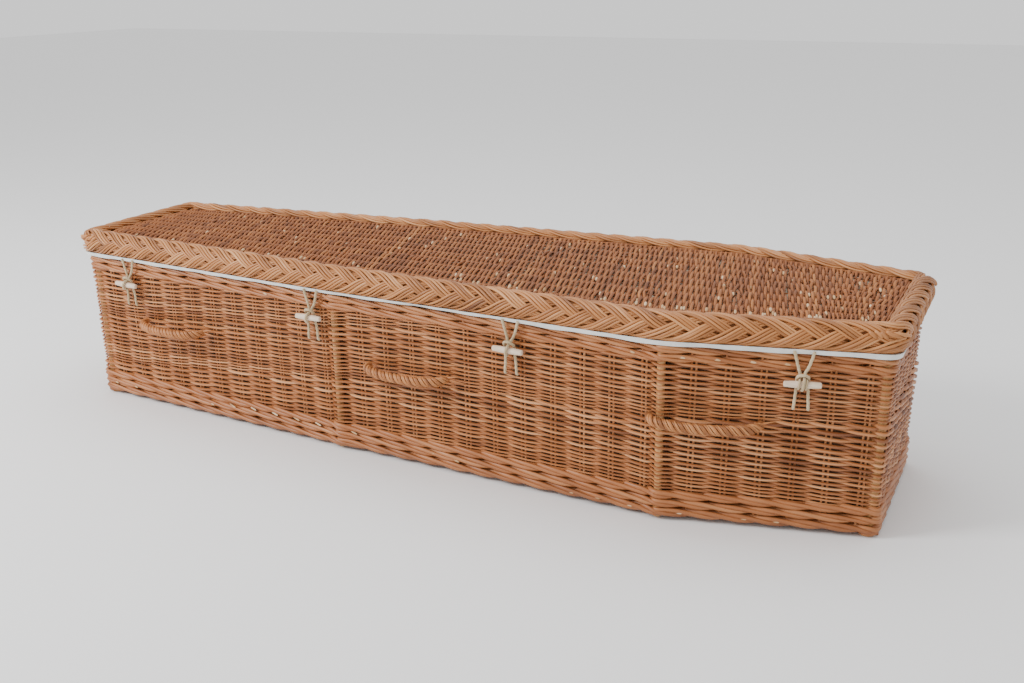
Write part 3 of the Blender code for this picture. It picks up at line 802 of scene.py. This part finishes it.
def make_plait(name):
    """A seven-strand plait of four rods a strand, bent round the outside and top of the border's roll.

    A strand swings across by the sine of its angle, less a little of the sine of three times
    it, and lies over or under by minus the sine of twice the angle, eased to its sign. Its rods
    lie side by side in an arch. The way across becomes an angle round the roll. One strand runs
    seven times round the border and so makes all seven.
    """
    rng = np.random.default_rng(41)
    total = PLAIT_PATH["total"] * PLAIT_STRANDS
    count = int(total / 0.0105)
    distance = np.arange(count) * total / count
    turn = 2 * np.pi * PLAIT_STROKES / total
    angle = turn * distance
    ease = 1 + PLAIT_CORNER
    slope = PLAIT_REACH * turn * (np.cos(angle) - 3 * PLAIT_CORNER * np.cos(3 * angle)) / ease
    steep = np.sqrt(1 + slope**2)
    swing = PLAIT_REACH * (np.sin(angle) - PLAIT_CORNER * np.sin(3 * angle)) / ease
    depth = -PLAIT_DEPTH * np.tanh(2.0 * np.sin(2 * angle)) / np.tanh(2.0)
    stroke = np.floor((angle - np.pi / 4) / np.pi).astype(int)
    blend = np.sin(angle - np.pi / 4) ** 2
    half = (PLAIT_RODS - 1) / 2
    strand_tone = rng.normal(0, 0.06, 2 * PLAIT_STROKES + 2)
    rods, radii, tones = [], [], []
    for rod in range(PLAIT_RODS):
        drift = rng.normal(0, 0.0004, 2 * PLAIT_STROKES + 2)
        beside = (rod - half) * PLAIT_ROD * 1.96 + drift[stroke] * blend
        run = distance - beside * slope / steep
        rolled = PLAIT_MIDDLE + (swing + beside / steep) / PLAIT_SURFACE
        arch = -0.0017 * ((rod - half) / half) ** 2
        reach = BORDER_RADIUS - PLAIT_ROD - PLAIT_DEPTH + depth + arch
        height = BORDER_CENTRE + reach * np.sin(rolled)
        rods.append(place_on(PLAIT_PATH, run, reach * np.cos(rolled), height))
        thick = 0.08 * rng.normal(0, 1, 2 * PLAIT_STROKES + 2)
        radii.append(PLAIT_ROD * (1 + thick[stroke] * blend))
        tone = 0.48 + strand_tone + rng.normal(0, 0.11, 2 * PLAIT_STROKES + 2)
        tones.append(np.clip(tone[stroke], 0, 1))
    return make_rods(name, np.stack(rods), np.stack(radii), np.stack(tones), closed=True)


def make_tucked_ends(name):
    """Five stubby rod ends tucked into the plait near each corner, round at both ends, slanting down."""
    share = np.linspace(-1, 1, 8)
    rods, radii = [], []
    for mark, towards in zip(PLAIT_PATH["marks"][[0, 3, 4, 7]], (1.0, -1.0, 1.0, -1.0)):
        for number in range(5):
            run = mark + towards * (0.0095 * number - 0.001) - towards * 0.0075 * share
            rolled = np.radians(27.0 - 13.0 * share + 5.0 * (number % 2))
            reach = BORDER_RADIUS - 0.0022 - 0.0012 * share**2
            height = BORDER_CENTRE + reach * np.sin(rolled)
            rods.append(place_on(PLAIT_PATH, run, reach * np.cos(rolled), height))
            radii.append((0.0033 + 0.0002 * (number % 3)) * np.sqrt(1 - 0.9 * share**4))
    tones = rod_tones(np.random.default_rng(44), len(rods), 0.45, 0.15)
    return make_rods(name, np.stack(rods), np.stack(radii), tones, sides=10)


def make_border_core(name):
    """Lengthwise rods: a ring of them on the roll's inner and lower side, and a bundle in its middle."""
    rng = np.random.default_rng(42)
    inner = np.radians(np.linspace(150, 262, 10))
    middle = np.radians(np.linspace(0, 360, 8)[:-1])
    rods, radii = [], []
    for angles, reach, radius in ((inner, 0.0262, 0.0029), (middle, 0.0125, 0.0056)):
        for angle in angles:
            inset = BORDER_INSET - reach * math.cos(angle)
            path = rounded_path(inset, max(PLAIT_ROUNDING - inset + BORDER_INSET, 0.004))
            distance = np.arange(180) * path["total"] / 180
            wander = 0.0007 * np.sin(distance * 2 * np.pi / path["total"] * (31 + len(rods) % 5))
            height = BORDER_CENTRE + reach * math.sin(angle) + wander
            rods.append(place_on(path, distance, 0.6 * wander, height))
            radii.append(np.full(180, radius))
    tones = rod_tones(rng, len(rods), 0.4, 0.12)
    return make_rods(name, np.stack(rods), np.stack(radii), tones, closed=True)


# Flat weaves: the lid's panel and the basket's base.


def half_width(inset, x):
    """Half of the plan's width at a place along it, inside the inset."""
    corners = plan_corners(inset)[:4]
    return np.interp(x, corners[:, 0], -corners[:, 1])


def make_flat_weave(
    name, inset, middle, pitch, radius, stick_radius, bays, seed, holes=0, reach=1.0, onward=1
):
    """Rods woven across over lengthwise sticks, each passing the next stick some rows onward.

    A rod's place along the panel is its row times the pitch, less that many pitches for each
    stick passed, which fades towards both ends. It is over or under by the cosine that changes
    sign at every stick, and thinner where rods crowd. Each hole pushes the rods beside it apart
    by a bell curve's slope.
    """
    rng = np.random.default_rng(seed)
    corners = plan_corners(inset)
    first, last = corners[0, 0] + radius, corners[3, 0] - radius
    rows = int((last - first) / pitch)
    bay = np.linspace(0, bays, bays * 4 + 1)[None]
    number = np.arange(rows)[:, None]
    start = first + number * (last - first) / (rows - 1)
    fade = 3.4 * pitch * onward * bays / 2
    ends = smoothstep((start - first) / fade) * smoothstep((last - start) / fade)
    slip = pitch * onward * (bays / 2 - bay) * ends
    crowding = np.clip(1 + np.gradient(slip, axis=0) / pitch, 0.5, 1.05)
    x = start + slip + rng.normal(0, 0.0005, (rows, 1)) * ends
    across = 1 - 2 * bay / bays
    y = across * (half_width(inset, x) - radius) * -1
    if holes:
        spots = rng.uniform(size=(holes, 2))
        at = corners[0, 0] + LENGTH * spots[:, :1] ** 0.55 * 0.95
        beside = (spots[:, 1:] * 2 - 1) * 0.9 * half_width(inset, at)
        away = (x[None] - at[:, :, None]) / 0.009
        side = (y[None] - beside[:, :, None]) / 0.013
        x = x + (0.0044 * away * np.exp(-(away**2) / 2 - side**2 / 2)).sum(axis=0)
    beat = np.tanh(3.0 * np.cos(np.pi * (number - bay))) / np.tanh(3.0)
    beat = beat * smoothstep((bays / 2 - np.abs(bay - bays / 2)) * 2 + 0.4)
    z = middle + reach * (stick_radius + radius) * beat
    weavers = np.stack(np.broadcast_arrays(x, y, z), axis=-1)
    radii = radius * crowding * (1 + rng.normal(0, 0.07, (rows, 1)))
    woven = make_rods(name, weavers, radii, rod_tones(rng, rows, 0.5, 0.11))
    share = np.linspace(-1, 1, bays + 1)[:, None]
    x = np.broadcast_to(np.linspace(first, last, 60), (bays + 1, 60))
    y = share * (half_width(inset, x) - radius)
    sticks = np.stack([x, y, np.full_like(x, middle)], axis=-1)
    stick_piece = make_rods(name + "_sticks", sticks, stick_radius, rod_tones(rng, bays + 1, 0.4, 0.1))
    return join_pieces(name, [woven, stick_piece])


def make_lid_joins(name, bays, count):
    """Pale cut ends where one rod of the lid's weave takes over from another, beside its sticks."""
    rng = np.random.default_rng(53)
    x = -LENGTH / 2 + 0.06 + (LENGTH - 0.12) * rng.uniform(size=count) ** 0.5
    edge = rng.uniform(size=count) < 0.35
    share = np.where(edge, -0.90, rng.integers(1, bays, count) * 2 / bays - 1)
    y = share * half_width(PANEL_INSET, x) + rng.choice((-0.0045, 0.0045), count)
    along = np.linspace(-1, 1, 6)
    size = 0.0026 * (1 + rng.normal(0, 0.15, (count, 1)))
    rise = PANEL_TOP - 0.0029 + rng.normal(0, 0.0007, (count, 1))
    centres = np.stack(
        [x[:, None] - along * 0.0022, y[:, None] + along * 0.0080, rise + 0.0012 * along], axis=-1
    )
    radii = size * np.sqrt(1 - 0.92 * along**4)
    return make_rods(name, centres, radii, rod_tones(rng, count, 0.6, 0.15), sides=8)


def make_lid():
    """The plait and its core stand for the border, and the woven panel for the panel."""
    finish_piece(make_plait("plaited_border"), WILLOW_PLAIT, ("lid_border",))
    finish_piece(make_border_core("border_inner_rods"), WILLOW_LID)
    finish_piece(make_tucked_ends("border_tucked_ends"), WILLOW_PLAIT)
    middle = PANEL_TOP - PANEL_THICKNESS / 2 + 0.001
    sizes = {"pitch": 0.0057, "radius": 0.0030, "stick_radius": 0.0012, "bays": 9, "holes": 120}
    panel = make_flat_weave("lid_weave", PANEL_INSET - 0.005, middle, seed=51, reach=0.72, onward=2, **sizes)
    finish_piece(panel, WILLOW_LID, ("lid_panel",))
    finish_piece(make_lid_joins("lid_cut_ends", 9, 130), WILLOW_CUT)


def make_base():
    """The base, woven as the lid is, of thicker rods."""
    inset = WALL_THICKNESS + 0.006
    base = make_flat_weave("base_weave", inset, 0.016, 0.0078, 0.0038, stick_radius=0.0040, bays=7, seed=61)
    finish_piece(base, WILLOW_LID, ("woven_base",))


# The handles.
HANDLE_LAY = 0.039


def handle_line(span, side):
    """The middle line of a handle: a superellipse of power 2.4 out from the wall, sagging a little."""
    start, _, out_start, _ = wall_frame(span[0], HANDLE_HEIGHT, side)
    end, _, out_end, _ = wall_frame(span[1], HANDLE_HEIGHT, side)
    outward = unit(out_start + out_end)
    angle = np.linspace(0, np.pi, 181)
    along = 0.5 - 0.5 * np.sign(np.cos(angle)) * np.abs(np.cos(angle)) ** (2 / 2.4)
    bow = np.sin(angle).clip(0) ** (2 / 2.4)
    line = start + (end - start) * along[:, None]
    line = line + outward * (GAP + (HANDLE_BOW - GAP) * bow)[:, None]
    line[:, 2] -= HANDLE_SAG * bow
    run = np.concatenate([[0], np.cumsum(np.linalg.norm(np.diff(line, axis=0), axis=1))])
    even = np.linspace(0, run[-1], 84)
    points = np.stack([np.interp(even, run, line[:, i]) for i in range(3)], axis=1)
    return points, even, outward, unit(end - start)


def make_handle(name, span, side, seed):
    """A rope of four strands of two rods, wound round a core, with pointed rod tails past its head end.

    A rod lies on a circle round the middle line, at an angle that turns once in each lay. The core takes the
    darkest tone, painted shade in the grooves between the strands.
    """
    rng = np.random.default_rng(seed)
    points, run, outward, along = handle_line(span, side)
    ahead = unit(np.gradient(points, axis=0))
    up = unit(np.cross(np.cross(ahead, (0.0, 0.0, 1.0)), ahead))
    beside = np.cross(ahead, up) * side
    share = np.minimum(1.0, 2.6 * np.sin(np.pi * run / run[-1]))
    thick = HANDLE_END_RADIUS + (HANDLE_RADIUS - HANDLE_END_RADIUS) * share
    rod_radius = 0.0023
    rods, radii = [points], [thick * 0.5]
    for strand in range(4):
        for rod in (-0.5, 0.5):
            turn = side * (strand * np.pi / 2 + rod * np.radians(30) - 2 * np.pi * run / HANDLE_LAY)
            reach = (thick - rod_radius)[:, None]
            ring = beside * np.cos(turn)[:, None] * side + up * np.sin(turn)[:, None]
            rods.append(points + reach * ring)
            radii.append(np.full(len(run), rod_radius * (1 + rng.normal(0, 0.06))))
    # The core's tone of nought is the darkest: painted shade in the grooves between the strands.
    tones = np.concatenate([[0.0], rod_tones(rng, 8, 0.52, 0.16)])
    rope = make_rods(name, np.stack(rods), np.stack(radii), tones)
    share = np.linspace(0, 1, 16)[:, None]
    tails, tail_radii = [], []
    for reach, rise, length in ((0.0035, 0.0065, 0.036), (0.0030, -0.0050, 0.050)):
        start = points[-1] - along * 0.012 + outward * 0.004
        tail = start + along * length * share + outward * (reach * np.sin(np.pi * share**0.7))
        tail = tail + np.array((0.0, 0.0, 1.0)) * rise * smoothstep(share)
        tails.append(tail)
        tail_radii.append(0.0029 * (1 - 0.8 * share[:, 0] ** 2))
    ends = make_rods(name + "_tails", np.stack(tails), np.stack(tail_radii), [0.6, 0.5])
    return join_pieces(name, [rope, ends])


def make_handles():
    """Three roped handles on each long side."""
    for side_name, side in SIDES:
        for number, span in enumerate(HANDLE_SPANS, start=1):
            rope = make_handle(f"roped_handle_{side_name}_{number}", span, side, 70 + number)
            finish_piece(rope, WILLOW_HANDLE, (f"handle_{side_name}_{number}",))


# The cotton lining.
LINING_STEP = 0.010
HEM_RISE = ((-0.95, -0.3, 0.08, 0.32, 0.95), (-0.0002, 0.0012, 0.0034, -0.0004, -0.0010))


def ring_at(inset, height, count, rounding, wave=0.0):
    """A ring of points round the plan, evenly spaced, whose height may ripple."""
    path = rounded_path(inset, rounding)
    distance = np.arange(count) * path["total"] / count
    turn = 2 * np.pi * distance / path["total"]
    ripple = np.sin(turn * 79) * 0.5 + np.sin(turn * 131 + 1.3) * 0.3 + np.sin(turn * 47 + 2) * 0.4
    return place_on(path, distance, wave * 0.25 * ripple, height + wave * ripple)


def hem_ring(inset, count, rounding):
    """The hem's lower edge: a sum of two sines, over a line that is highest a little past the middle."""
    ring = ring_at(inset, RIM, count, rounding)
    wave = np.sin(ring[:, 0] * 31.0 + 1.0) * 0.6 + np.sin(ring[:, 0] * 73.0) * 0.4
    ring[:, 2] += np.interp(ring[:, 0], *HEM_RISE) + 0.0012 * wave
    return ring


def make_lining(name):
    """The cotton in the basket: down outside the rim as a hem, over it, down the walls and across the floor.

    Rings round the plan, first down the cloth's shown side, then back up its hidden side. The hidden side's
    floor and walls, seen through the gaps of the weave, are painted dark brown: painted shade.
    """
    count = int(WALL_PATH["total"] / LINING_STEP)
    shown_out = -WALE_PROUD - GAP - CLOTH_THICKNESS
    hidden_out = -WALE_PROUD - GAP
    floor = 0.0246
    deep = 0.0300
    outer = CORNER_ROUNDING + 0.003
    layers = []
    for out, top, inner, low in (
        (shown_out, HEM_TOP, deep + CLOTH_THICKNESS, floor + CLOTH_THICKNESS),
        (hidden_out, RIM + GAP, deep, floor),
    ):
        rings = [
            hem_ring(out, count, outer),
            ring_at(out - 0.0026, top + 0.0066, count, outer, 0.0003),
            ring_at(out + 0.0014, top + 0.0062, count, outer),
            ring_at(out + 0.0080, top + 0.0008, count, outer),
            ring_at(inner - 0.002, top, count, 0.012),
            ring_at(inner, top - 0.002, count, 0.012),
            ring_at(inner + lean(0.2), 0.2, count, 0.012, 0.0008),
            ring_at(inner + lean(low), low, count, 0.012),
        ]
        edge = rings[-1]
        rings += [edge * (share, share, 1.0) for share in (0.66, 0.33, 0.02)]
        layers.append(rings)
    rings = np.stack(layers[0] + layers[1][::-1])
    piece = make_piece(name, rings.reshape(-1, 3), *shell_faces(len(rings), count))
    # The hidden side's floor and walls take the dark brown cloth: painted shade in the gaps of the weave.
    painted_shade_faces = np.zeros(len(piece.data.polygons), dtype=np.int32)
    painted_shade_faces[10 * count : 16 * count] = 1
    for material in (COTTON_LINING, COTTON_PAINTED_SHADE):
        piece.data.materials.append(material)
    piece.data.polygons.foreach_set("material_index", painted_shade_faces)
    return piece


def shell_faces(rings, count):
    """Quads between rings in order and from the last back to the first, but for the two at the middle."""
    ring, place = np.meshgrid(np.arange(rings), np.arange(count), indexing="ij")
    keep = ring[:, 0] != rings // 2 - 1
    onward = (ring + 1) % rings
    beside = (place + 1) % count
    corners = ((ring, place), (onward, place), (onward, beside), (ring, beside))
    quads = np.stack([row * count + column for row, column in corners], axis=-1)[keep]
    low, high = rings // 2 - 1, rings // 2
    caps = [(low * count + np.arange(count))[None], (high * count + np.arange(count))[None, ::-1]]
    return quads.reshape(-1, 4), caps


def make_lid_lining(name):
    """The cotton under the lid's panel: flat rings round the plan that shrink towards its middle."""
    count = 200
    top = PANEL_TOP - 0.0128
    upper = ring_at(PANEL_INSET + 0.001, top - 0.0004, count, 0.004)
    layers = []
    for drop in (0.0, CLOTH_THICKNESS):
        rings = []
        for share in (1.0, 0.85, 0.7, 0.5, 0.3, 0.02):
            ring = upper * (share, share, 1.0)
            ripple = np.sin(ring[:, 0] * 90 + ring[:, 1] * 25) * np.sin(ring[:, 1] * 70)
            ring[:, 2] += 0.0004 * ripple - drop
            rings.append(ring)
        layers.append(rings)
    rings = np.stack(layers[1] + layers[0][::-1])
    return make_piece(name, rings.reshape(-1, 3), *shell_faces(len(rings), count))


def make_cotton():
    """The basket's lining, with its hem outside the rim, and the lid's."""
    lining = make_lining("cotton_basket_lining")
    finish_piece(lining, COTTON_LINING, ("basket_lining",))
    lid_lining = make_lid_lining("cotton_lid_lining")
    finish_piece(lid_lining, COTTON_UNDER_LID, ("lid_lining",))


# The studio.


def make_light(name, place, size, energy, aim=(0.0, 0.0, 0.2)):
    """A square soft light at a place, turned to its aim."""
    data = bpy.data.lights.new(name, "AREA")
    data.energy = energy
    data.size = size
    aim_along(bpy.data.objects.new(name, data), place, unit(np.array(aim) - np.array(place)))


def make_studio():
    """A plain pale floor, a pale surround and two soft lights."""
    corner = 14.0
    verts = [(-corner, -corner, 0.0), (corner, -corner, 0.0), (corner, corner, 0.0), (-corner, corner, 0.0)]
    floor = make_piece("studio_floor", verts, [(0, 1, 2, 3)])
    material, tree, _ = new_material("pale_floor")
    fill_shader(tree, {"Base Color": hex_colour("#F2F2F2"), "Roughness": 0.9})
    floor.data.materials.append(material)
    world = bpy.data.worlds.new("surround")
    world.use_nodes = True
    background = world.node_tree.nodes["Background"].inputs
    background["Color"].default_value = hex_colour("#FFFFFF")
    background["Strength"].default_value = 1.05
    bpy.context.scene.world = world
    make_light("key_light", (-2.9, -2.6, 2.6), 1.4, 180.0)
    make_light("top_light", (0.2, 0.6, 3.6), 2.6, 35.0)


make_camera()
make_fastenings()
make_wall()
make_lid()
make_base()
make_handles()
make_cotton()
make_studio()
